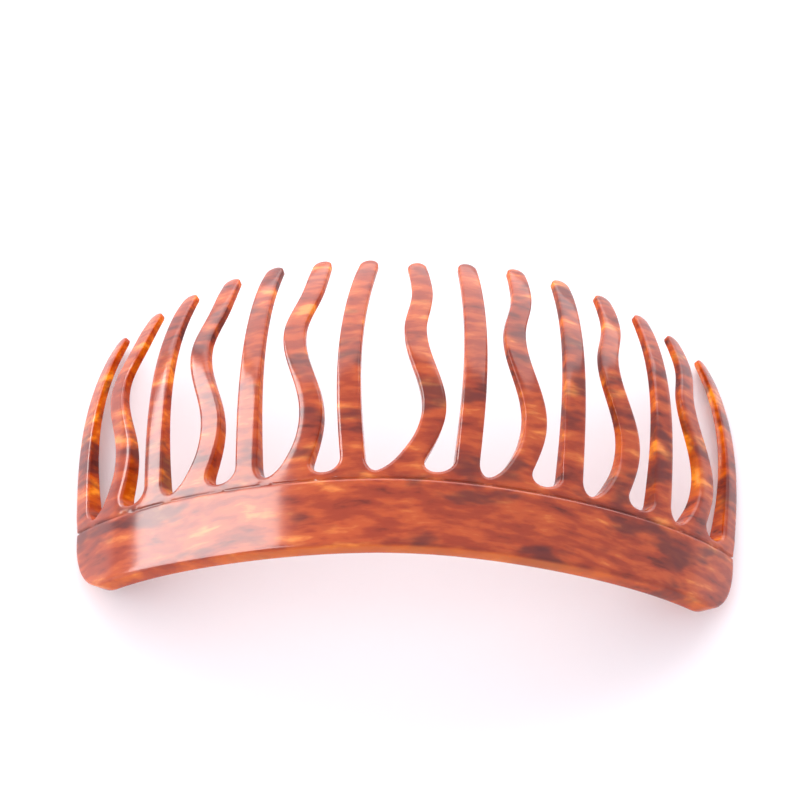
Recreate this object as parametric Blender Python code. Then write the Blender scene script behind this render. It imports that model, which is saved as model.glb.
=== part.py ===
"""Curved hair comb cut from acetate sheet: a wide grooved band with fifteen teeth.

The comb is cut flat from sheet and then pressed onto a doubly curved form, so the
model is made the same way: flat regions first, one mapping onto the form second.
In the flat state u runs along the band, v runs from the back edge to the tooth tips
and w is the depth below the outer (convex) face. Metres, +Z up, resting on a floor
at Z = 0 with the convex face up and the teeth pointing towards +Y.
"""
import bmesh
import bpy
import numpy as np
from math import cos, pi, radians, sin

# Sheet and overall cut in the flat state
SHEET_THICKNESS = 0.0033
HALF_LENGTH = 0.0538
BAND_DEPTH = 0.0106
END_CORNER_ALONG = 0.0076
END_CORNER_DEPTH = 0.0090
EDGE_ROUND = 0.0007

# V-groove on the outer face, end to end
GROOVE_LINE = 0.0094
GROOVE_WIDTH = 0.0005
GROOVE_DEPTH = 0.00035

# Teeth: odd ones straight, even ones waved, all the same way
TOOTH_PITCH = 0.0076
TOOTH_COUNT = 15
TOOTH_WIDTH = 0.0033
TIP_WIDTH = 0.0030
ROOT_RADIUS = 0.0021
ROOT_FLARE = 0.0011
FLARE_REACH = 0.0060
TOOTH_LENGTHS_MM = (33.0, 34.9, 36.5, 37.7, 38.4, 37.9, 36.9, 36.0, 37.0, 38.1, 38.0, 37.3, 35.8, 34.4, 33.1)
WAVE_HEIGHT = 0.00156
WAVE_START = 0.051
WAVE_LENGTH = 0.717
SPLAY = 0.013
BOW_PER_PLACE = 0.00009
TOOTH_BOW = {1: -0.00115, 4: 0.00025, 7: -0.0013, 8: 0.0021, 9: 0.0009, 10: 0.0006, 15: 0.0015}
TOOTH_LEAN = {1: 0.0007, 2: 0.0003, 4: -0.0006, 5: -0.0002, 6: -0.0003, 7: 0.0004, 8: -0.0006, 9: 0.0005, 10: 0.0005, 11: 0.0011, 12: 0.0005, 13: 0.0007, 14: -0.0007}

# The teeth are separate nodes above this line, with a hair's breadth left between
SEAM_LINE = 0.0142
SEAM_GAP = 0.00005

# The inner face is ground away towards the tips, so the teeth end thin
TIP_THINNING = 0.39
THINNING_POWER = 3.2
TIP_LINE = 0.0489

# The curved form
ARCH_RADIUS = 0.102
CROWN_TURN = 0.159
CROWN_SPREAD = 0.0114
SLOPE_GROWTH = 0.0237
SLOPE_LEVEL_AT = 0.0213
END_TURN = 0.00064

# How the comb lies on the floor
REST_TILT = radians(2.9)


def tooth_centre(number, t):
    """u of a tooth's centre line; t runs from 0 at the gap bottom to 1 at the tip."""
    place = number - (TOOTH_COUNT + 1) / 2
    u = TOOTH_PITCH * place * (1.0 + SPLAY * (2.0 * t - 1.0))
    u += TOOTH_BOW.get(number, BOW_PER_PLACE * place) * sin(pi * min(max(t, 0.0), 1.0))
    u += TOOTH_LEAN.get(number, 0.0) * max(t, 0.0) ** 1.7
    if number % 2 == 0:
        fade = min(max((t - 0.6) / 0.3, 0.0), 1.0)
        height = WAVE_HEIGHT * (1.0 - 0.65 * fade * fade * (3.0 - 2.0 * fade))
        u += height * sin(2.0 * pi * (t - WAVE_START) / WAVE_LENGTH)
    return u


def tooth_side(number, side, v):
    """u of one side of a tooth at height v, side being -1 for left and +1 for right."""
    t = (v - BAND_DEPTH) / (TOOTH_LENGTHS_MM[number - 1] * 0.001)
    width = TOOTH_WIDTH + (TIP_WIDTH - TOOTH_WIDTH) * min(max(t, 0.0), 1.0)
    u = tooth_centre(number, t) + side * width / 2
    if side < 0 and number % 2 == 0:
        rise = min(max(1.0 - (v - BAND_DEPTH) / FLARE_REACH, 0.0), 1.0)
        u -= ROOT_FLARE * rise * rise
    return u


def root_corner(number, side):
    """Start of a gap's rounding on a tooth's side, and where that side would meet the bottom."""
    shoulder = BAND_DEPTH + ROOT_RADIUS
    start = tooth_side(number, side, shoulder)
    lean = (tooth_side(number, side, shoulder + 0.0005) - start) / 0.0005
    return start, start - lean * ROOT_RADIUS


def round_between(start, corner, end, count):
    """Points of a cubic curve that rounds off the corner between two points."""
    points = []
    for k in range(count):
        t = k / (count - 1)
        a, b, c, d = (1 - t) ** 3, 3 * t * (1 - t) ** 2, 3 * t * t * (1 - t), t**3
        near = [p + 0.55 * (q - p) for p, q in zip(start, corner)]
        far = [p + 0.55 * (q - p) for p, q in zip(end, corner)]
        points.append(tuple(a * p + b * q + c * r + d * e for p, q, r, e in zip(start, near, far, end)))
    return points


def heights(start, end, step):
    """Evenly spaced v values from start to end, both included."""
    count = max(int(round((end - start) / step)), 1)
    return [start + (end - start) * k / count for k in range(count + 1)]


def tooth_outline(number):
    """Closed outline of one tooth, run past the seam so that it can be cut flat there."""
    radius = TIP_WIDTH / 2
    shoulder = BAND_DEPTH + TOOTH_LENGTHS_MM[number - 1] * 0.001 - radius
    rows = heights(SEAM_LINE - 0.0010, shoulder, 0.0019)
    left = [(tooth_side(number, -1, v), v) for v in rows]
    right = [(tooth_side(number, 1, v), v) for v in rows]
    middle = (left[-1][0] + right[-1][0]) / 2
    cap = [(middle - radius * cos(a), shoulder + radius * sin(a)) for a in (pi * k / 8 for k in range(1, 8))]
    return left + cap + right[::-1]


def gap_outline(left_tooth):
    """Gap between two teeth: down one side, round the bottom, up the other.

    The bottom is tangent to both sides, so beside a leaning tooth it sweeps up into it.
    """
    shoulder = BAND_DEPTH + ROOT_RADIUS
    left_u, left_corner = root_corner(left_tooth, 1)
    right_u, right_corner = root_corner(left_tooth + 1, -1)
    lowest = ((left_corner + right_corner) / 2, BAND_DEPTH)
    top = SEAM_LINE + 0.0010
    points = [(tooth_side(left_tooth, 1, top), top)]
    points += round_between((left_u, shoulder), (left_corner, BAND_DEPTH), lowest, 5)
    points += round_between(lowest, (right_corner, BAND_DEPTH), (right_u, shoulder), 5)[1:]
    points.append((tooth_side(left_tooth + 1, -1, top), top))
    return points


def end_outline(side):
    """Rounded end of the band, from the back edge up to the outer side of the end tooth."""
    number = TOOTH_COUNT if side > 0 else 1
    points = []
    for k in range(9):
        a = pi / 2 * k / 8
        u = HALF_LENGTH - END_CORNER_ALONG * (1.0 - sin(a))
        points.append((side * u, END_CORNER_DEPTH * (1.0 - cos(a))))
    shoulder = BAND_DEPTH + ROOT_RADIUS
    points.append((tooth_side(number, side, shoulder), shoulder))
    top = SEAM_LINE + 0.0010
    points.append((tooth_side(number, side, top), top))
    return points


def band_outline():
    """Closed outline of the band with its tooth stubs, run a little past the seam."""
    points = []
    for number in range(1, TOOTH_COUNT):
        points += gap_outline(number)
    points += end_outline(1)[::-1]
    points += end_outline(-1)
    return points


def flat_solid(name, outline):
    """Flat sheet of the given outline with rounded rims, as a mesh centred on w = half."""
    curve = bpy.data.curves.new(name + "_outline", 'CURVE')
    curve.dimensions = '2D'
    curve.fill_mode = 'BOTH'
    curve.extrude = SHEET_THICKNESS / 2 - EDGE_ROUND
    curve.bevel_depth = EDGE_ROUND
    curve.bevel_resolution = 1
    curve.offset = -EDGE_ROUND
    spline = curve.splines.new('POLY')
    spline.points.add(len(outline) - 1)
    for point, (u, v) in zip(spline.points, outline):
        point.co = (u, v, 0.0, 1.0)
    spline.use_cyclic_u = True
    holder = bpy.data.objects.new(name + "_flat", curve)
    bpy.context.scene.collection.objects.link(holder)
    bpy.context.view_layer.update()
    depsgraph = bpy.context.evaluated_depsgraph_get()
    mesh = bpy.data.meshes.new_from_object(holder.evaluated_get(depsgraph))
    bpy.data.objects.remove(holder)
    bpy.data.curves.remove(curve)
    mesh.name = name
    work = bmesh.new()
    work.from_mesh(mesh)
    bmesh.ops.remove_doubles(work, verts=work.verts, dist=0.00002)
    bmesh.ops.recalc_face_normals(work, faces=work.faces)
    work.to_mesh(mesh)
    work.free()
    return mesh


def cut_flat(mesh, v, keep_above):
    """Trim a flat solid square across at height v and close the cut."""
    work = bmesh.new()
    work.from_mesh(mesh)
    everything = work.verts[:] + work.edges[:] + work.faces[:]
    cut = bmesh.ops.bisect_plane(
        work,
        geom=everything,
        dist=0.00001,
        plane_co=(0.0, v, 0.0),
        plane_no=(0.0, 1.0, 0.0),
        clear_outer=not keep_above,
        clear_inner=keep_above,
    )
    rim = [item for item in cut["geom_cut"] if isinstance(item, bmesh.types.BMEdge)]
    bmesh.ops.holes_fill(work, edges=rim, sides=0)
    bmesh.ops.recalc_face_normals(work, faces=work.faces)
    work.to_mesh(mesh)
    work.free()


def add_lines(mesh, places):
    """Score a flat solid square across at each u so that it can follow the arch."""
    work = bmesh.new()
    work.from_mesh(mesh)
    normal = (1.0, 0.0, 0.0)
    for place in places:
        point = (place, 0.0, 0.0)
        everything = work.verts[:] + work.edges[:] + work.faces[:]
        bmesh.ops.bisect_plane(work, geom=everything, dist=0.0001, plane_co=point, plane_no=normal)
    bmesh.ops.triangulate(work, faces=work.faces)
    bmesh.ops.remove_doubles(work, verts=work.verts, dist=0.00006)
    work.to_mesh(mesh)
    work.free()


def cut_groove(mesh, cutters):
    """Cut the V-groove across the outer face of the flat band."""
    half = GROOVE_WIDTH / 2
    top = SHEET_THICKNESS / 2
    reach = HALF_LENGTH + 0.005
    spread = half * 2.0
    corners = [(-spread, GROOVE_DEPTH), (0.0, -GROOVE_DEPTH), (spread, GROOVE_DEPTH)]
    verts = [(end * reach, GROOVE_LINE + dv, top + dw) for end in (-1, 1) for dv, dw in corners]
    faces = [(0, 2, 1), (3, 4, 5), (0, 1, 4, 3), (1, 2, 5, 4), (2, 0, 3, 5)]
    wedge_mesh = bpy.data.meshes.new("groove_cutter")
    wedge_mesh.from_pydata(verts, [], faces)
    work = bmesh.new()
    work.from_mesh(wedge_mesh)
    bmesh.ops.recalc_face_normals(work, faces=work.faces)
    work.to_mesh(wedge_mesh)
    work.free()
    wedge = bpy.data.objects.new("groove_cutter", wedge_mesh)
    wedge.display_type = 'WIRE'
    wedge.hide_render = True
    cutters.objects.link(wedge)
    holder = bpy.data.objects.new("band_flat", mesh)
    cutters.objects.link(holder)
    cut = holder.modifiers.new("groove", 'BOOLEAN')
    cut.operation = 'DIFFERENCE'
    cut.solver = 'EXACT'
    cut.object = wedge
    bpy.context.view_layer.update()
    depsgraph = bpy.context.evaluated_depsgraph_get()
    grooved = bpy.data.meshes.new_from_object(holder.evaluated_get(depsgraph))
    bpy.data.objects.remove(holder)
    bpy.data.objects.remove(wedge)
    grooved.name = "band"
    return grooved


def running_integral(values, places, origin):
    """Trapezium-rule integral of values over places, zero at the given origin."""
    steps = np.diff(places) * (values[1:] + values[:-1]) / 2
    total = np.concatenate([[0.0], np.cumsum(steps)])
    return total - np.interp(origin, places, total)


def press(points):
    """Carry flat (u, v, w) points onto the form and set the comb down on the floor.

    Along the band the surface turns by angle(u) = u / R + c tanh(u / s) + e u^3, a
    circular arch, tighter at the crown and towards the ends. Depth below the outer
    face is scaled by the thinning of the teeth. Along the teeth it dips by slope(v), a
    parabola that is zero at the back edge, which keeps that edge in one plane, and
    zero again partway up the teeth, so they rise first and then curl down.
    """
    u, v = points[:, 0], points[:, 1]
    ground = np.clip((v - GROOVE_LINE) / (TIP_LINE - GROOVE_LINE), 0.0, 1.0)
    thinning = TIP_THINNING + (1.0 - TIP_THINNING) * (1.0 - ground) ** THINNING_POWER
    w = (SHEET_THICKNESS / 2 - points[:, 2]) * thinning
    along = np.linspace(-0.070, 0.070, 1401)
    turn = along / ARCH_RADIUS + CROWN_TURN * np.tanh(along / CROWN_SPREAD)
    turn += END_TURN * (along / TOOTH_PITCH) ** 3
    arch_x = np.interp(u, along, running_integral(np.cos(turn), along, 0.0))
    arch_z = np.interp(u, along, -running_integral(np.sin(turn), along, 0.0))
    theta = np.interp(u, along, turn)
    out = np.linspace(-0.005, 0.060, 1301)
    slope = SLOPE_GROWTH * out * (out - SLOPE_LEVEL_AT) / TOOTH_PITCH**2
    reach = np.interp(v, out, running_integral(np.cos(slope), out, 0.0))
    drop = np.interp(v, out, running_integral(np.sin(slope), out, 0.0))
    phi = np.interp(v, out, slope)
    sink = drop + w * np.cos(phi)
    x = arch_x - sink * np.sin(theta)
    y = reach - w * np.sin(phi)
    z = arch_z - sink * np.cos(theta)
    tilted_y = y * cos(REST_TILT) - z * sin(REST_TILT)
    tilted_z = y * sin(REST_TILT) + z * cos(REST_TILT)
    return np.stack([x, tilted_y, tilted_z], axis=1)


def mesh_points(mesh):
    """Vertex positions of a mesh as an array."""
    flat = np.empty(len(mesh.vertices) * 3)
    mesh.vertices.foreach_get("co", flat)
    return flat.reshape(-1, 3)


def acetate(name, colour):
    """Polished tortoiseshell acetate."""
    material = bpy.data.materials.new(name)
    material.use_nodes = True
    shader = material.node_tree.nodes["Principled BSDF"]
    shader.inputs["Base Color"].default_value = (*colour, 1.0)
    shader.inputs["Roughness"].default_value = 0.15
    shader.inputs["Metallic"].default_value = 0.0
    return material


def main():
    for item in list(bpy.data.objects):
        bpy.data.objects.remove(item)
    comb = bpy.data.collections.new("curved_hair_comb")
    cutters = bpy.data.collections.new("cutters")
    bpy.context.scene.collection.children.link(comb)
    bpy.context.scene.collection.children.link(cutters)

    band = flat_solid("band", band_outline())
    cut_flat(band, SEAM_LINE, keep_above=False)
    band = cut_groove(band, cutters)
    add_lines(band, [TOOTH_PITCH / 2 * k for k in range(-14, 15)])
    meshes = {"band": band}
    for number in range(1, TOOTH_COUNT + 1):
        name = "tooth_%02d" % number
        tooth = flat_solid(name, tooth_outline(number))
        cut_flat(tooth, SEAM_LINE + SEAM_GAP, keep_above=True)
        add_lines(tooth, [])
        meshes[name] = tooth

    pressed = {name: press(mesh_points(mesh)) for name, mesh in meshes.items()}
    everything = np.concatenate(list(pressed.values()))
    low = everything.min(axis=0)
    high = everything.max(axis=0)
    origin = np.array([(low[0] + high[0]) / 2, (low[1] + high[1]) / 2, low[2]])
    materials = {
        "band": acetate("band_acetate", (0.60, 0.13, 0.06)),
        "tooth": acetate("tooth_acetate", (0.55, 0.15, 0.07)),
    }
    for name, mesh in meshes.items():
        points = pressed[name] - origin
        centre = points.mean(axis=0)
        mesh.vertices.foreach_set("co", (points - centre).ravel())
        mesh.materials.clear()
        mesh.materials.append(materials["band" if name == "band" else "tooth"])
        mesh.update()
        mesh.shade_smooth()
        mesh.set_sharp_from_angle(angle=radians(50.0))
        piece = bpy.data.objects.new(name, mesh)
        piece.location = [float(value) for value in centre]
        comb.objects.link(piece)


if __name__ == "__main__":
    main()
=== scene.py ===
"""Curved tortoiseshell-effect acetate hair comb lying on a white table.

The comb is cut flat, scored, polished and then pressed onto a doubly curved form,
and it is modelled the same way. In the flat state u runs along the band, v from the
back edge to the tooth tips and w is the depth below the outer, convex face.
"""

import bmesh
import bpy
import numpy as np
from bpy.props import FloatProperty, FloatVectorProperty, PointerProperty
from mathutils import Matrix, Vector
from mathutils.geometry import delaunay_2d_cdt


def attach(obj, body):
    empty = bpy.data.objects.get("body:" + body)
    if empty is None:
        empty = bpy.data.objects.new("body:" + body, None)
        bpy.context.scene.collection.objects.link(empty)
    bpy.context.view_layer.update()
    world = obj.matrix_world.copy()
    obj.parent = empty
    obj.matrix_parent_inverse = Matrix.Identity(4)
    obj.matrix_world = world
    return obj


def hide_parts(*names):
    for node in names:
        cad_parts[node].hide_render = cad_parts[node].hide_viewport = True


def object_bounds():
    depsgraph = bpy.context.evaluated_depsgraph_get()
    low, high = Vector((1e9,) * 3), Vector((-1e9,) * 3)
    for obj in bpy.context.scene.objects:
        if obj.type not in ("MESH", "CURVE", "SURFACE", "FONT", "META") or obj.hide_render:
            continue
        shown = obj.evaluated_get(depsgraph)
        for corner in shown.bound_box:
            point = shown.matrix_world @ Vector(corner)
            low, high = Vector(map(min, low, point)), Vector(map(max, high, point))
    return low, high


bl_info = {
    "name": "Curved hair comb",
    "version": (1, 0, 0),
    "blender": (4, 5, 0),
    "location": "3D View > Sidebar > Hair Comb",
    "description": "Builds a curved acetate hair comb and a small white studio around it",
    "category": "Add Mesh",
}

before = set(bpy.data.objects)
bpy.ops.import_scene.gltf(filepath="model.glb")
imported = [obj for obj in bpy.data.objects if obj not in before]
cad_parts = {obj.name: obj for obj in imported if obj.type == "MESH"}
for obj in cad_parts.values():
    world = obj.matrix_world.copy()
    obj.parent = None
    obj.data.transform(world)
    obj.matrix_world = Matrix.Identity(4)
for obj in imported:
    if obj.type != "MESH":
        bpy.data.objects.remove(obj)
CAD_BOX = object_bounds()

MM = 0.001

TOOTH_COUNT = 15
TOOTH_LENGTHS_MM = np.array([
    33.0, 34.9, 36.5, 37.7, 38.4, 37.9, 36.9, 36.0, 37.0, 38.1, 38.0, 37.3, 35.8, 34.4, 33.1,
])
TOOTH_BOW_MM = np.array([
    -1.15, -0.54, -0.45, 0.25, -0.27, -0.18, -1.3, 2.1, 0.9, 0.6, 0.27, 0.36, 0.45, 0.54, 1.5,
])
TOOTH_LEAN_MM = np.array([
    0.7, 0.3, 0, -0.6, -0.2, -0.3, 0.4, -0.6, 0.5, 0.5, 1.1, 0.5, 0.7, -0.7, 0,
])

# How the teeth stand on the flat blank; places along a tooth are shares of its length
TOOTH_SPLAY = 0.013
LEAN_POWER = 1.7
WAVE_START = 0.051
WAVE_LENGTH = 0.717
WAVE_FADE_START = 0.6
WAVE_FADE_LENGTH = 0.3
WAVE_FADE = 0.65
FLARE_REACH = 6.0 * MM
ROUNDING_HANDLE = 0.55

# Rounded ends of the band, and the same corner drawn in by 1.9 mm for the filling
END_CORNER_ALONG = 7.6 * MM
END_CORNER_DEPTH = 9.0 * MM
FILLING_MARGIN = 1.9 * MM
FILLING_CORNER_ALONG = 5.7 * MM
FILLING_CORNER_DEPTH = 7.1 * MM

# Polished rim and domed tips
RIM_REACH = 1.15 * MM
RIM_FALL = 0.10 * MM
DOME_START = 0.87
DOME_LENGTH = 0.11
DOME_HEIGHT = 0.3 * MM

# Form that the comb is pressed onto
CROWN_SPREAD = 11.4 * MM
END_TURN = 0.00064
CURL_LEVEL = 21.3 * MM
TIP_LINE = 0.0489
THINNING_POWER = 3.2
REST_TILT = np.radians(2.9)

# Studio
TABLE_HALF = 4.0
SOFTBOX_SIZE = (0.97, 0.52)
SOFTBOX_PLACE = (-0.50, -0.10, 0.35)
FILL_SHARE = 0.26
BACKDROP_SIZE = (2.0, 1.3)
BACKDROP_PLACE = (0.0, 0.9, 0.68)
CAMERA_PLACE = (-0.0029, -0.1168, 0.2149)
CAMERA_TURN_DEGREES = (30.906, -1.339, 1.671)


def linear_rgb(hex_colour):
    """Linear RGB of an sRGB hex colour such as "#C8641E"."""
    values = np.array([int(hex_colour[k:k + 2], 16) for k in (1, 3, 5)]) / 255.0
    curve = np.where(values <= 0.04045, values / 12.92, ((values + 0.055) / 1.055) ** 2.4)
    return tuple(float(c) for c in curve)


# ---------------------------------------------------------------- flat blank


def tooth_centre(sizes, number, t):
    """u of tooth number's centre line, in metres; t runs from 0 at the gap bottom to 1 at the tip.

    The teeth stand at an even pitch and splay a little, bow by a half sine and lean by
    t to the power 1.7. Even teeth add a sine wave that fades towards the tip.
    """
    place = number - (TOOTH_COUNT + 1) / 2
    u = sizes.tooth_pitch * place * (1.0 + TOOTH_SPLAY * (2.0 * t - 1.0))
    u = u + TOOTH_BOW_MM[number - 1] * MM * np.sin(np.pi * np.clip(t, 0.0, 1.0))
    u = u + TOOTH_LEAN_MM[number - 1] * MM * np.maximum(t, 0.0) ** LEAN_POWER
    if number % 2 == 0:
        fade = np.clip((t - WAVE_FADE_START) / WAVE_FADE_LENGTH, 0.0, 1.0)
        height = sizes.wave_height * (1.0 - WAVE_FADE * fade * fade * (3.0 - 2.0 * fade))
        u = u + height * np.sin(2.0 * np.pi * (t - WAVE_START) / WAVE_LENGTH)
    return u


def tooth_side(sizes, number, side, v):
    """u of the left (-1) or right (+1) side of a tooth at height v, or of its middle (0).

    The left side of a waved tooth spreads towards the root, by a parabola.
    """
    t = (v - sizes.band_depth) / (TOOTH_LENGTHS_MM[number - 1] * MM)
    width = sizes.tooth_width + (sizes.tip_width - sizes.tooth_width) * np.clip(t, 0.0, 1.0)
    u = tooth_centre(sizes, number, t) + side * width / 2
    if side < 0 and number % 2 == 0:
        rise = np.clip(1.0 - (v - sizes.band_depth) / FLARE_REACH, 0.0, 1.0)
        u = u - sizes.root_flare * rise ** 2
    return u


def root_corner(sizes, number, side):
    """Start of a gap's rounding on a tooth's side, and where that side would meet the bottom."""
    shoulder = sizes.band_depth + sizes.root_radius
    start = tooth_side(sizes, number, side, shoulder)
    lean = (tooth_side(sizes, number, side, shoulder + 0.5 * MM) - start) / (0.5 * MM)
    return start, start - lean * sizes.root_radius


def round_between(start, corner, end, count):
    """Cubic curve from start to end that rounds off the corner between them."""
    start, corner, end = (np.array(point)[None, :] for point in (start, corner, end))
    t = np.linspace(0.0, 1.0, count)[:, None]
    near = start + ROUNDING_HANDLE * (corner - start)
    far = end + ROUNDING_HANDLE * (corner - end)
    return (1 - t) ** 3 * start + 3 * t * (1 - t) ** 2 * near + 3 * t**2 * (1 - t) * far + t**3 * end


def tooth_tip(sizes, number):
    """Half-round end of a tooth, from its left side over the tip to its right side."""
    radius = sizes.tip_width / 2
    shoulder = sizes.band_depth + TOOTH_LENGTHS_MM[number - 1] * MM - radius
    middle = tooth_side(sizes, number, 0, shoulder)
    angle = np.linspace(np.pi, 0.0, 17)
    return np.stack([middle + radius * np.cos(angle), shoulder + radius * np.sin(angle)], axis=1)


def gap_path(sizes, left):
    """Gap to the right of tooth left: down its side, round the bottom, up the next tooth.

    The bottom is tangent to both sides.
    """
    root = sizes.band_depth + sizes.root_radius
    tops = [sizes.band_depth + TOOTH_LENGTHS_MM[k] * MM - sizes.tip_width / 2 for k in (left - 1, left)]
    down = np.linspace(tops[0], root, 84)[1:-1]
    up = np.linspace(root, tops[1], 84)[1:-1]
    left_root, left_corner = root_corner(sizes, left, 1)
    right_root, right_corner = root_corner(sizes, left + 1, -1)
    lowest = ((left_corner + right_corner) / 2, sizes.band_depth)
    return np.concatenate([
        np.stack([tooth_side(sizes, left, 1, down), down], axis=1),
        round_between((left_root, root), (left_corner, sizes.band_depth), lowest, 11),
        round_between(lowest, (right_corner, sizes.band_depth), (right_root, root), 11)[1:],
        np.stack([tooth_side(sizes, left + 1, -1, up), up], axis=1),
    ])


def end_path(sizes, side):
    """Outer side of an end tooth and the rounded end of the band, down to the back edge.

    Next to the back edge the end is a quarter ellipse, and from there a smooth step
    leads into the tooth. Points stand close together where the score line crosses.
    """
    number = TOOTH_COUNT if side > 0 else 1
    root = sizes.band_depth + sizes.root_radius
    top = sizes.band_depth + TOOTH_LENGTHS_MM[number - 1] * MM - sizes.tip_width / 2
    tooth_v = np.linspace(top, root, 74)[1:]
    tooth_u = side * tooth_side(sizes, number, side, tooth_v)
    groove = sizes.groove_line
    score_v = groove + np.array([0.5, 0.25, 0.12, 0.0, -0.12, -0.25, -0.4]) * MM
    step_v = np.concatenate([np.linspace(root, groove + 0.5 * MM, 8)[1:-1], score_v])
    step = np.clip((step_v - END_CORNER_DEPTH) / (root - END_CORNER_DEPTH), 0.0, 1.0)
    step_u = sizes.half_length + (tooth_u[-1] - sizes.half_length) * step * step * (3.0 - 2.0 * step)
    angle = np.linspace(0.0, np.pi / 2, 26)[1:]
    corner_u = sizes.half_length - END_CORNER_ALONG * (1.0 - np.cos(angle))
    corner_v = END_CORNER_DEPTH * (1.0 - np.sin(angle))
    u = np.concatenate([tooth_u, step_u, corner_u])
    v = np.concatenate([tooth_v, step_v, corner_v])
    return np.stack([side * u, v], axis=1)


def comb_outline(sizes):
    """Closed outline of the whole flat comb, clockwise from the left end tooth's tip."""
    runs = []
    for number in range(1, TOOTH_COUNT + 1):
        runs.append(tooth_tip(sizes, number))
        if number < TOOTH_COUNT:
            runs.append(gap_path(sizes, number))
    runs.append(end_path(sizes, 1))
    straight = sizes.half_length - END_CORNER_ALONG
    back = np.linspace(straight, -straight, 190)[1:-1]
    runs.append(np.stack([back, np.zeros_like(back)], axis=1))
    runs.append(end_path(sizes, -1)[::-1])
    return np.concatenate(runs)


def inward_normals(outline):
    """Unit normals of a closed clockwise outline, pointing into the material."""
    ahead = np.roll(outline, -1, axis=0) - outline
    behind = outline - np.roll(outline, 1, axis=0)
    ahead /= np.linalg.norm(ahead, axis=1, keepdims=True)
    behind /= np.linalg.norm(behind, axis=1, keepdims=True)
    along = ahead + behind
    along /= np.linalg.norm(along, axis=1, keepdims=True)
    return np.stack([along[:, 1], -along[:, 0]], axis=1)


def rim_profile(sizes):
    """(inset, depth) pairs from the outer face round the polished rim to the inner face.

    Each corner is a quarter circle, and next to it the face falls by a slow parabola,
    as buffing leaves it. The wall between the corners is straight.
    """
    r = sizes.edge_round
    angle = np.linspace(np.pi / 2, 0.0, 8)
    inset = np.concatenate([[RIM_REACH, (RIM_REACH + r) / 2], r * (1.0 - np.cos(angle))])
    fall = RIM_FALL * (1.0 - inset / RIM_REACH) ** 2
    depth = np.concatenate([[0.0, 0.0], r * (1.0 - np.sin(angle))]) + fall
    thickness = sizes.sheet_thickness
    wall = np.array([[0.0, thickness / 2]])
    front = np.stack([inset, depth], axis=1)
    back = np.stack([inset[::-1], thickness - depth[::-1]], axis=1)
    return np.concatenate([front, wall, back])


def tip_dome(sizes, outline):
    """How strongly each outline point is domed over, from 0 to 1.

    It is a smooth step along the last eighth of a tooth.
    """
    middle = TOOTH_COUNT // 2
    place = np.clip(np.rint(outline[:, 0] / sizes.tooth_pitch), -middle, middle).astype(int) + middle
    t = (outline[:, 1] - sizes.band_depth) / (TOOTH_LENGTHS_MM[place] * MM)
    step = np.clip((t - DOME_START) / DOME_LENGTH, 0.0, 1.0)
    return step * step * (3.0 - 2.0 * step)


def score_depth(sizes, v):
    """Depth of the V-shaped score line at height v."""
    half = sizes.groove_width / 2
    return sizes.groove_depth * np.clip(1.0 - np.abs(v - sizes.groove_line) / half, 0.0, 1.0)


# ---------------------------------------------------------------- curved form


def running_integral(values, places, origin):
    """Trapezium-rule integral of values over places, zero at the origin."""
    total = np.concatenate([[0.0], np.cumsum(np.diff(places) * (values[1:] + values[:-1]) / 2)])
    return total - np.interp(origin, places, total)


def press(sizes, flat):
    """Carry flat (u, v, w) points onto the form.

    Depth w is first scaled down along the teeth, whose inner face is ground away
    towards the tips. Along the band the surface turns by u / R + c tanh(u / s) + e u^3,
    a circular arch that is tighter at the crown and towards the ends. Along the teeth
    its slope is g v (v - l) / pitch^2, level at the back edge and again at l, and
    falling from there to the tips. Depth w goes along the true normal. Last, the whole
    comb is tilted about the x axis onto its points of rest.
    """
    u, v, w = flat.T
    ground = np.clip((v - sizes.groove_line) / (TIP_LINE - sizes.groove_line), 0.0, 1.0)
    w = w * (sizes.tip_thinning + (1.0 - sizes.tip_thinning) * (1.0 - ground) ** THINNING_POWER)
    along = np.linspace(-0.070, 0.070, 2801)
    turn = along / sizes.arch_radius + sizes.crown_turn * np.tanh(along / CROWN_SPREAD)
    turn += END_TURN * (along / sizes.tooth_pitch) ** 3
    arch_x = np.interp(u, along, running_integral(np.cos(turn), along, 0.0))
    arch_z = np.interp(u, along, -running_integral(np.sin(turn), along, 0.0))
    theta = np.interp(u, along, turn)
    out = np.linspace(-0.005, 0.060, 1301)
    slope = sizes.curl * out * (out - CURL_LEVEL) / sizes.tooth_pitch**2
    reach = np.interp(v, out, running_integral(np.cos(slope), out, 0.0))
    drop = np.interp(v, out, running_integral(np.sin(slope), out, 0.0))
    phi = np.interp(v, out, slope)
    sink = drop + w * np.cos(phi)
    x = arch_x - sink * np.sin(theta)
    y = reach - w * np.sin(phi)
    z = arch_z - sink * np.cos(theta)
    rested_y = y * np.cos(REST_TILT) - z * np.sin(REST_TILT)
    rested_z = y * np.sin(REST_TILT) + z * np.cos(REST_TILT)
    return np.stack([x, rested_y, rested_z], axis=1)


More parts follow.
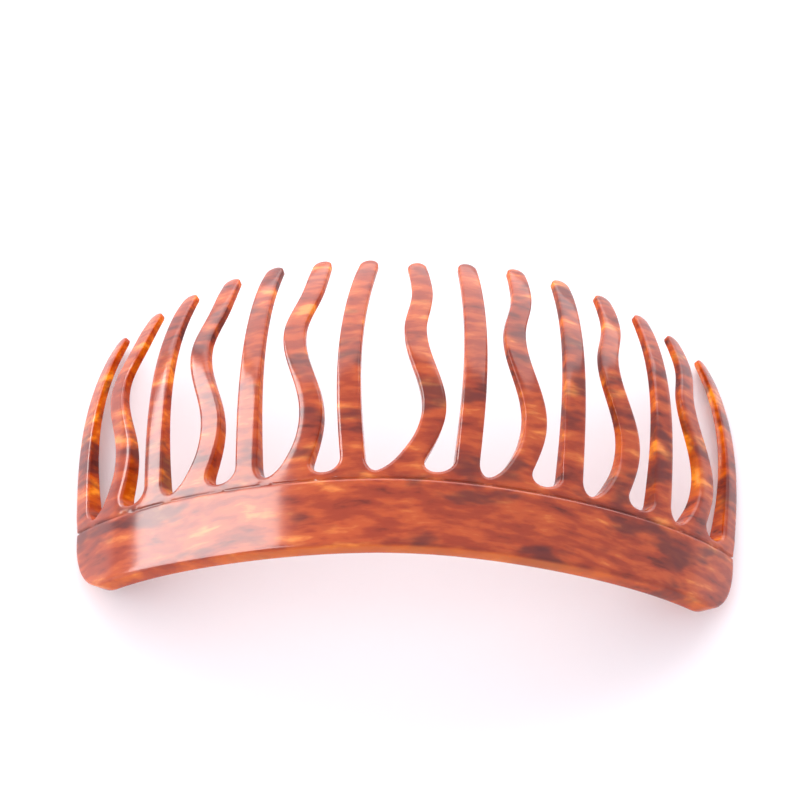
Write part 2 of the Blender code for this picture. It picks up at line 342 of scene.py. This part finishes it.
def comb_mesh(sizes):
    """Mesh of the comb: its rim profile carried round the outline, and the two faces filled.

    Every outline point and every profile point give one vertex, inset along the
    outline's normal. Inside the last ring both faces share one Delaunay filling, with
    rows of points on the score line. Returns the mesh, the flat place of each vertex
    and the number of vertices on the rim.
    """
    outline = comb_outline(sizes)
    normal = inward_normals(outline)
    profile = rim_profile(sizes)
    rings, count = len(profile), len(outline)
    inset = profile[:, 0][:, None]
    depth = profile[:, 1][:, None] * np.ones((1, count))
    half = sizes.sheet_thickness / 2
    dome = DOME_HEIGHT * tip_dome(sizes, outline)[None, :] * (1.0 - inset / inset.max()) ** 1.5
    depth = half - np.sign(half - depth) * np.maximum(np.abs(half - depth) - dome, 0.0)

    # The score line also notches the band's end walls, and runs out 1.6 mm down
    near = np.clip(1.6 - depth / MM, 0.0, 1.0)
    notch = score_depth(sizes, outline[:, 1])[None, :] * near
    at_end = (np.abs(outline[:, 0]) > sizes.half_length - 2.0 * MM)[None, :]
    shift = inset + notch * at_end * np.clip(1.0 - inset / MM, 0.0, 1.0)
    ring_u = outline[:, 0][None, :] + normal[:, 0][None, :] * shift
    ring_v = outline[:, 1][None, :] + normal[:, 1][None, :] * shift
    depth = depth + score_depth(sizes, ring_v) * (depth < sizes.edge_round)
    ring_points = np.stack([ring_u, ring_v, depth], axis=2).reshape(-1, 3)

    # Points inside the last ring: loose rows over the band, close ones on the score line
    inner = np.stack([ring_u[0], ring_v[0]], axis=1)
    groove = sizes.groove_line
    rows = np.concatenate([
        np.arange(2.2, 8.6, 0.8) * MM,
        groove + np.array([-0.5, -0.25, -0.12, 0.0, 0.12, 0.25, 0.5]) * MM,
    ])
    reach = sizes.half_length - FILLING_MARGIN
    grid_u, grid_v = np.meshgrid(np.linspace(-reach, reach, 240), rows)
    corner_u = sizes.half_length - END_CORNER_ALONG
    beyond = np.maximum(np.abs(grid_u) - corner_u, 0.0) / FILLING_CORNER_ALONG
    below = np.maximum(END_CORNER_DEPTH - grid_v, 0.0) / FILLING_CORNER_DEPTH
    keep = beyond**2 + np.where(beyond > 0, below, 0.0) ** 2 < 1.0
    field = np.stack([grid_u[keep], grid_v[keep]], axis=1)
    points = np.concatenate([inner, field])
    border = [list(range(count))]
    filled = delaunay_2d_cdt([Vector(p) for p in points.tolist()], [], border, 1, 1e-9)
    source = np.array([ids[0] for ids in filled[3]])
    triangles = source[np.array(filled[2])]

    size_rings = rings * count
    field_front = np.column_stack([field, score_depth(sizes, field[:, 1])])
    field_back = np.column_stack([field, np.full(len(field), sizes.sheet_thickness)])
    flat = np.concatenate([ring_points, field_front, field_back])

    def numbered(tri, ring, offset):
        """Vertex numbers of filling triangles whose border is the given ring."""
        return np.where(tri < count, tri + ring * count, tri - count + offset)

    front = numbered(triangles, 0, size_rings)
    back = numbered(triangles, rings - 1, size_rings + len(field))[:, ::-1]
    a = np.arange(rings - 1)[:, None] * count + np.arange(count)[None, :]
    b = np.arange(rings - 1)[:, None] * count + (np.arange(count)[None, :] + 1) % count
    wall = np.stack([a, b, b + count, a + count], axis=2).reshape(-1, 4)
    faces = front.tolist() + back.tolist() + wall.tolist()
    mesh = bpy.data.meshes.new("tortoiseshell_comb")
    mesh.from_pydata(press(sizes, flat).tolist(), [], faces)
    return mesh, flat, size_rings


# ---------------------------------------------------------------- materials


def add_node(tree, kind, links=(), **settings):
    """Add a node; settings set attributes or unlinked sockets, links join (output, input)."""
    node = tree.nodes.new(kind)
    for key, value in settings.items():
        if hasattr(node, key):
            setattr(node, key, value)
        else:
            node.inputs[key.replace("_", " ")].default_value = value
    for source, target in links:
        tree.links.new(source, node.inputs[target])
    return node


def ramp_node(tree, factor, stops):
    """Colour ramp fed by factor, with (position, colour) stops."""
    node = add_node(tree, "ShaderNodeValToRGB", [(factor, "Fac")])
    node.color_ramp.interpolation = 'EASE'
    ramp = node.color_ramp.elements
    while len(ramp) < len(stops):
        ramp.new(0.5)
    for element, (position, colour) in zip(ramp, stops):
        element.position = position
        element.color = (*colour, 1.0)
    return node


def streak_noise(tree, vector, scale, detail, roughness, shift=(0.0, 0.0, 0.0)):
    """Noise stretched along the sheet; scale is in features per metre along u, v and w."""
    stretch = add_node(tree, "ShaderNodeMapping", [(vector, "Vector")])
    stretch.inputs["Scale"].default_value = scale
    stretch.inputs["Location"].default_value = shift
    vector = stretch.outputs["Vector"]
    return add_node(
        tree, "ShaderNodeTexNoise", [(vector, "Vector")],
        Scale=1.0, Detail=detail, Roughness=roughness,
    )


def tortoiseshell_acetate(colours):
    """Cellulose acetate sheet in a tortoiseshell pattern, cut, tumbled and buffed.

    Clear amber with rolled-in red-brown and violet-brown streaks: glossy, warm and a
    little see-through. The cut walls take a brighter orange copy of the pattern, painted
    glow that stands in for light passing through the sheet, and the middle of the back
    edge takes a painted amber glow.
    """
    material = bpy.data.materials.new("tortoiseshell_acetate")
    material.use_nodes = True
    tree = material.node_tree
    shader = tree.nodes["Principled BSDF"]
    place = add_node(tree, "ShaderNodeAttribute", attribute_name="sheet_place")
    cut_wall = add_node(tree, "ShaderNodeAttribute", attribute_name="cut_wall")
    # Share of painted amber glow along the back edge
    painted_glow_mask = add_node(tree, "ShaderNodeAttribute", attribute_name="painted_glow_mask")

    # Slow bends of the rolled layers, about 12 mm from crest to crest
    bend = add_node(
        tree, "ShaderNodeTexNoise", [(place.outputs["Vector"], "Vector")], Scale=85.0, Detail=2.0,
    )
    push = add_node(
        tree, "ShaderNodeVectorMath", [(bend.outputs["Color"], 0)], operation='MULTIPLY_ADD',
    )
    push.inputs[1].default_value = (0.0012, 0.0024, 0.0010)
    tree.links.new(place.outputs["Vector"], push.inputs[2])
    bent = push.outputs["Vector"]

    # Fine streaks 1 to 2 mm thick and four times as long, and broad bands about 4 mm thick
    fine = streak_noise(tree, bent, (150.0, 640.0, 200.0), 4.0, 0.55)
    broad = streak_noise(tree, bent, (120.0, 260.0, 120.0), 3.0, 0.5)
    mixed = add_node(tree, "ShaderNodeMix", data_type='FLOAT')
    mixed.inputs["Factor"].default_value = 0.5
    tree.links.new(fine.outputs["Fac"], mixed.inputs[2])
    tree.links.new(broad.outputs["Fac"], mixed.inputs[3])
    spread = (0.34, 0.45, 0.54, 0.68)
    tones = (colours.face_dark, colours.face_brown, colours.face_amber, colours.face_light)
    face = ramp_node(tree, mixed.outputs[0], list(zip(spread, tones)))
    # Brighter, more saturated copy of the pattern for the cut walls: painted glow of light passing
    # through the sheet
    tones = (colours.wall_painted_glow_dark, colours.wall_painted_glow_brown, colours.wall_painted_glow_amber, colours.wall_painted_glow_light)
    wall = ramp_node(tree, mixed.outputs[0], list(zip(spread, tones)))

    # Violet-brown clouds, about 11 mm long and 4 mm thick
    cloud = streak_noise(tree, bent, (90.0, 230.0, 90.0), 3.0, 0.6, shift=(3.1, 7.7, 0.4))
    cloud_edge = add_node(
        tree, "ShaderNodeMapRange", [(cloud.outputs["Fac"], "Value")],
        interpolation_type='SMOOTHSTEP',
    )
    cloud_edge.inputs["From Min"].default_value = 0.50
    cloud_edge.inputs["From Max"].default_value = 0.66
    cloud_edge.inputs["To Max"].default_value = 0.80

    # The cut walls take the painted glow tones in place of the face tones
    face_wall = add_node(tree, "ShaderNodeMix", data_type='RGBA')
    tree.links.new(cut_wall.outputs["Fac"], face_wall.inputs["Factor"])
    tree.links.new(face.outputs["Color"], face_wall.inputs[6])
    tree.links.new(wall.outputs["Color"], face_wall.inputs[7])
    clouded = add_node(tree, "ShaderNodeMix", data_type='RGBA')
    clouded.inputs[7].default_value = (*colours.cloud, 1.0)
    tree.links.new(cloud_edge.outputs["Result"], clouded.inputs["Factor"])
    tree.links.new(face_wall.outputs[2], clouded.inputs[6])
    # Painted amber glow along the middle of the back edge, standing in for light coming through the
    # sheet
    edge = add_node(tree, "ShaderNodeMix", data_type='RGBA')
    edge.inputs[7].default_value = (*colours.painted_edge_glow, 1.0)
    tree.links.new(painted_glow_mask.outputs["Fac"], edge.inputs["Factor"])
    tree.links.new(clouded.outputs[2], edge.inputs[6])
    tree.links.new(edge.outputs[2], shader.inputs["Base Color"])

    # Buffing leaves very shallow waves, about 6 mm apart
    buff = add_node(
        tree, "ShaderNodeTexNoise", [(place.outputs["Vector"], "Vector")], Scale=170.0, Detail=1.0,
    )
    bump = add_node(
        tree, "ShaderNodeBump", [(buff.outputs["Fac"], "Height")], Strength=0.25, Distance=0.0001,
    )
    tree.links.new(bump.outputs["Normal"], shader.inputs["Normal"])

    # The cut walls are less polished than the faces, so they mirror the white room less
    shine = add_node(tree, "ShaderNodeMapRange", [(cut_wall.outputs["Fac"], "Value")])
    shine.inputs["To Min"].default_value = 0.5
    shine.inputs["To Max"].default_value = 0.12
    tree.links.new(shine.outputs["Result"], shader.inputs["Specular IOR Level"])

    shader.inputs["Metallic"].default_value = 0.0
    shader.inputs["Roughness"].default_value = 0.13
    shader.inputs["IOR"].default_value = 1.48
    shader.inputs["Subsurface Weight"].default_value = 0.35
    shader.inputs["Subsurface Radius"].default_value = (1.0, 0.30, 0.10)
    shader.inputs["Subsurface Scale"].default_value = 0.0012
    return material


def table_surface():
    """Matt white laminate table top."""
    material = bpy.data.materials.new("white_laminate")
    material.use_nodes = True
    shader = material.node_tree.nodes["Principled BSDF"]
    shader.inputs["Base Color"].default_value = (*linear_rgb("#F4F1F3"), 1.0)
    shader.inputs["Roughness"].default_value = 0.6
    shader.inputs["Specular IOR Level"].default_value = 0.2
    return material


# ---------------------------------------------------------------- settings


def length_setting(name, description, default, precision=4):
    """Length setting in metres."""
    return FloatProperty(
        name=name, description=description, default=default, unit='LENGTH', precision=precision,
    )


class CombSizes(bpy.types.PropertyGroup):
    """Sizes of the flat blank and of the form that it is pressed onto."""

    tooth_pitch: length_setting(
        "Tooth pitch", "Distance between teeth along the band", 0.0076,
    )
    tooth_width: length_setting(
        "Tooth width", "Width of a tooth across its face", 0.0033,
    )
    tip_width: length_setting(
        "Tip width", "Width of a tooth just below its rounded tip", 0.0030,
    )
    tip_thinning: FloatProperty(
        name="Tip thinning", description="Thickness at the tips as a share of the sheet's",
        default=0.39, min=0.1, max=1.0,
    )
    wave_height: length_setting(
        "Wave height", "Half the sideways swing of a waved tooth", 0.00156,
    )
    root_radius: length_setting(
        "Root radius", "Depth of the rounded gap bottoms", 0.0021,
    )
    root_flare: length_setting(
        "Root flare", "How far a waved tooth's left side spreads at its root", 0.0011,
    )
    band_depth: length_setting(
        "Band depth", "From the back edge to the gap bottoms", 0.0106,
    )
    half_length: length_setting(
        "Half length", "Half the band's length along the arch", 0.0538,
    )
    sheet_thickness: length_setting(
        "Sheet thickness", "Thickness of the acetate sheet", 0.0033,
    )
    edge_round: length_setting(
        "Edge rounding", "Radius of the buffed corners", 0.0005,
    )
    groove_line: length_setting(
        "Score line place", "From the back edge to the score line", 0.0094,
    )
    groove_width: length_setting(
        "Score line width", "Width of the V-shaped score line", 0.0005,
    )
    groove_depth: length_setting(
        "Score line depth", "Depth of the V-shaped score line", 0.00035, precision=5,
    )
    arch_radius: length_setting(
        "Arch radius", "Radius of the form along the band", 0.102, precision=2,
    )
    crown_turn: FloatProperty(
        name="Crown turn", description="Extra turn at the middle of the arch, in radians",
        default=0.159,
    )
    curl: FloatProperty(
        name="Tooth curl", description="How strongly the teeth curl towards the head",
        default=0.0237, precision=3,
    )


def sheet_colour(name, description, hex_colour):
    """Colour setting that starts from an sRGB hex value."""
    return FloatVectorProperty(
        name=name, description=description, default=linear_rgb(hex_colour),
        subtype='COLOR', size=3, min=0.0, max=1.0,
    )


class AcetateColours(bpy.types.PropertyGroup):
    """Colours rolled into the sheet as they show on its faces, brighter copies of them on the cut walls
    as painted glow of light through the sheet, and a painted amber glow for the back edge.
    """

    face_dark: sheet_colour("Face, dark", "Darkest streaks on the polished faces", "#5E1C12")
    face_brown: sheet_colour("Face, brown", "Red-brown ground on the polished faces", "#93351B")
    face_amber: sheet_colour("Face, amber", "Middle tone on the polished faces", "#AE4A22")
    face_light: sheet_colour("Face, light", "Light streaks on the polished faces", "#E08842")
    # Wall colours: brighter copies of the face colours, painted glow that stands in for light passing
    # through the sheet
    wall_painted_glow_dark: sheet_colour("Wall, dark", "Darkest streaks seen through the cut walls", "#5A1804")
    wall_painted_glow_brown: sheet_colour("Wall, brown", "Ground colour of the cut walls", "#AA3C06")
    wall_painted_glow_amber: sheet_colour("Wall, amber", "Middle tone of the cut walls", "#CA5A06")
    wall_painted_glow_light: sheet_colour("Wall, light", "Light streaks seen through the cut walls", "#FF9E20")
    cloud: sheet_colour("Clouds", "Violet-brown clouds in the sheet", "#58201F")
    # Painted glow of light through the sheet along the middle of the back edge
    painted_edge_glow: sheet_colour("Edge glow", "Clear amber along the middle of the back edge", "#BC5804")


class StudioSettings(bpy.types.PropertyGroup):
    """Light and view around the comb."""

    softbox_strength: FloatProperty(
        name="Softbox", description="Power of the large softbox on the left",
        default=15.0, unit='POWER',
    )
    backdrop_strength: FloatProperty(
        name="Backdrop", description="Power of the lit white backdrop behind the comb",
        default=21.5, unit='POWER',
    )
    surround: FloatVectorProperty(
        name="Surround", description="Colour of the white room",
        default=(0.95, 0.92, 0.98), subtype='COLOR', size=3,
    )
    lens: FloatProperty(
        name="Lens", description="Focal length on a 36 mm sensor",
        default=74.24, unit='CAMERA',
    )


# ---------------------------------------------------------------- operators


def finish_mesh(mesh, flat, rim_count, sizes):
    """Store three attributes on the vertices: place in the sheet, cut wall and the painted glow along
    the back edge.
    """
    place = mesh.attributes.new("sheet_place", 'FLOAT_VECTOR', 'POINT')
    place.data.foreach_set("vector", flat.astype(np.float32).ravel())
    from_middle = np.abs(flat[:, 2] - sizes.sheet_thickness / 2)
    wall = np.clip((sizes.sheet_thickness / 2 - from_middle) / sizes.edge_round - 0.3, 0.0, 1.0)
    wall[rim_count:] = 0.0
    cut_wall = mesh.attributes.new("cut_wall", 'FLOAT', 'POINT')
    cut_wall.data.foreach_set("value", wall.astype(np.float32))

    near_back = np.clip(1.5 - flat[:, 1] / MM, 0.0, 1.0)
    # Painted glow of the back edge, standing in for light through the sheet: it fades out between 16
    # and 36 mm from a place by its middle
    middle = np.clip((36.0 * MM - np.abs(flat[:, 0] - 2.0 * MM)) / (20.0 * MM), 0.0, 1.0)
    glow = wall * near_back * middle * middle * (3.0 - 2.0 * middle) * 0.75
    painted_glow_mask = mesh.attributes.new("painted_glow_mask", 'FLOAT', 'POINT')
    painted_glow_mask.data.foreach_set("value", glow.astype(np.float32))


def area_light(scene, name, size, power, place, turn):
    """Rectangular area light; size is its width and height."""
    light = bpy.data.lights.new(name, 'AREA')
    light.shape = 'RECTANGLE'
    light.size, light.size_y = size
    light.energy = power
    stand = bpy.data.objects.new(name, light)
    stand.location = place
    stand.rotation_euler = turn
    scene.collection.objects.link(stand)
    return stand


class HAIRCOMB_OT_build_comb(bpy.types.Operator):
    """Build the comb in one piece and let it stand for the band and teeth of the frame"""

    bl_idname = "haircomb.build_comb"
    bl_label = "Build comb"
    bl_options = {'REGISTER', 'UNDO'}

    def execute(self, context):
        sizes = context.scene.haircomb_sizes
        mesh, flat, rim_count = comb_mesh(sizes)
        finish_mesh(mesh, flat, rim_count, sizes)
        points = np.empty(len(mesh.vertices) * 3)
        mesh.vertices.foreach_get("co", points)
        points = points.reshape(-1, 3)

        # Centre the comb on the frame's box, measured over the points that carry a face
        used = np.zeros(len(points), bool)
        corners = np.empty(len(mesh.loops), int)
        mesh.loops.foreach_get("vertex_index", corners)
        used[corners] = True
        low, high = points[used].min(axis=0), points[used].max(axis=0)
        cad_low, cad_high = (np.array(corner) for corner in CAD_BOX)
        shift = (cad_low + cad_high - low - high) / 2
        shift[2] = cad_low[2] - low[2]
        mesh.vertices.foreach_set("co", (points + shift).ravel())
        mesh.update()

        # Drop the points that the filling left without a face
        work = bmesh.new()
        work.from_mesh(mesh)
        bmesh.ops.delete(work, geom=[v for v in work.verts if not v.link_faces], context='VERTS')
        work.to_mesh(mesh)
        work.free()

        mesh.shade_smooth()
        if mesh.validate():
            raise RuntimeError("the comb's mesh had faults")
        mesh.materials.append(tortoiseshell_acetate(context.scene.haircomb_colours))
        comb = bpy.data.objects.new("tortoiseshell_comb", mesh)
        context.scene.collection.objects.link(comb)
        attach(comb, "root")
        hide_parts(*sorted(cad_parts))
        return {'FINISHED'}


class HAIRCOMB_OT_build_studio(bpy.types.Operator):
    """Set up the white table, the softbox, the room light and the camera"""

    bl_idname = "haircomb.build_studio"
    bl_label = "Build studio"
    bl_options = {'REGISTER', 'UNDO'}

    def execute(self, context):
        scene = context.scene
        studio = scene.haircomb_studio
        half = TABLE_HALF
        corners = [(-half, -half, 0), (half, -half, 0), (half, half, 0), (-half, half, 0)]
        mesh = bpy.data.meshes.new("table_top")
        mesh.from_pydata(corners, [], [(0, 1, 2, 3)])
        mesh.materials.append(table_surface())
        table = bpy.data.objects.new("table_top", mesh)
        scene.collection.objects.link(table)

        world = bpy.data.worlds.new("white_room")
        world.use_nodes = True
        room = world.node_tree.nodes["Background"]
        room.inputs["Color"].default_value = (*studio.surround, 1.0)
        room.inputs["Strength"].default_value = 1.0
        scene.world = world

        # One softbox is only mirrored in the comb, and a weaker one only lights it
        power = studio.softbox_strength
        turn = (np.pi / 2, 0.0, -np.pi / 2)
        mirrored = area_light(scene, "softbox", SOFTBOX_SIZE, power, SOFTBOX_PLACE, turn)
        mirrored.visible_diffuse = False
        power = studio.softbox_strength * FILL_SHARE
        lighting = area_light(scene, "softbox_fill", SOFTBOX_SIZE, power, SOFTBOX_PLACE, turn)
        lighting.visible_glossy = False
        power = studio.backdrop_strength
        turn = (-np.pi / 2, 0.0, 0.0)
        area_light(scene, "backdrop", BACKDROP_SIZE, power, BACKDROP_PLACE, turn)

        lens = bpy.data.cameras.new("camera")
        lens.lens = studio.lens
        lens.sensor_width = 36.0
        lens.clip_start = 0.01
        camera = bpy.data.objects.new("camera", lens)
        camera.location = CAMERA_PLACE
        camera.rotation_euler = np.radians(CAMERA_TURN_DEGREES)
        scene.collection.objects.link(camera)
        scene.camera = camera
        scene.view_settings.view_transform = 'Standard'
        return {'FINISHED'}


class HAIRCOMB_PT_panel(bpy.types.Panel):
    """Steps that build the comb"""

    bl_label = "Hair Comb"
    bl_space_type = 'VIEW_3D'
    bl_region_type = 'UI'
    bl_category = "Hair Comb"

    def draw(self, context):
        layout = self.layout
        layout.operator(HAIRCOMB_OT_build_comb.bl_idname)
        layout.operator(HAIRCOMB_OT_build_studio.bl_idname)
        scene = context.scene
        for group in (scene.haircomb_sizes, scene.haircomb_colours, scene.haircomb_studio):
            for key in group.bl_rna.properties.keys():
                if key not in {"rna_type", "name"}:
                    layout.prop(group, key)


CLASSES = (
    CombSizes,
    AcetateColours,
    StudioSettings,
    HAIRCOMB_OT_build_comb,
    HAIRCOMB_OT_build_studio,
    HAIRCOMB_PT_panel,
)


def register():
    for cls in CLASSES:
        bpy.utils.register_class(cls)
    bpy.types.Scene.haircomb_sizes = PointerProperty(type=CombSizes)
    bpy.types.Scene.haircomb_colours = PointerProperty(type=AcetateColours)
    bpy.types.Scene.haircomb_studio = PointerProperty(type=StudioSettings)


def unregister():
    del bpy.types.Scene.haircomb_studio
    del bpy.types.Scene.haircomb_colours
    del bpy.types.Scene.haircomb_sizes
    for cls in reversed(CLASSES):
        bpy.utils.unregister_class(cls)


def main():
    register()
    bpy.ops.haircomb.build_comb()
    bpy.ops.haircomb.build_studio()
    bpy.context.view_layer.update()


if __name__ == "__main__":
    main()
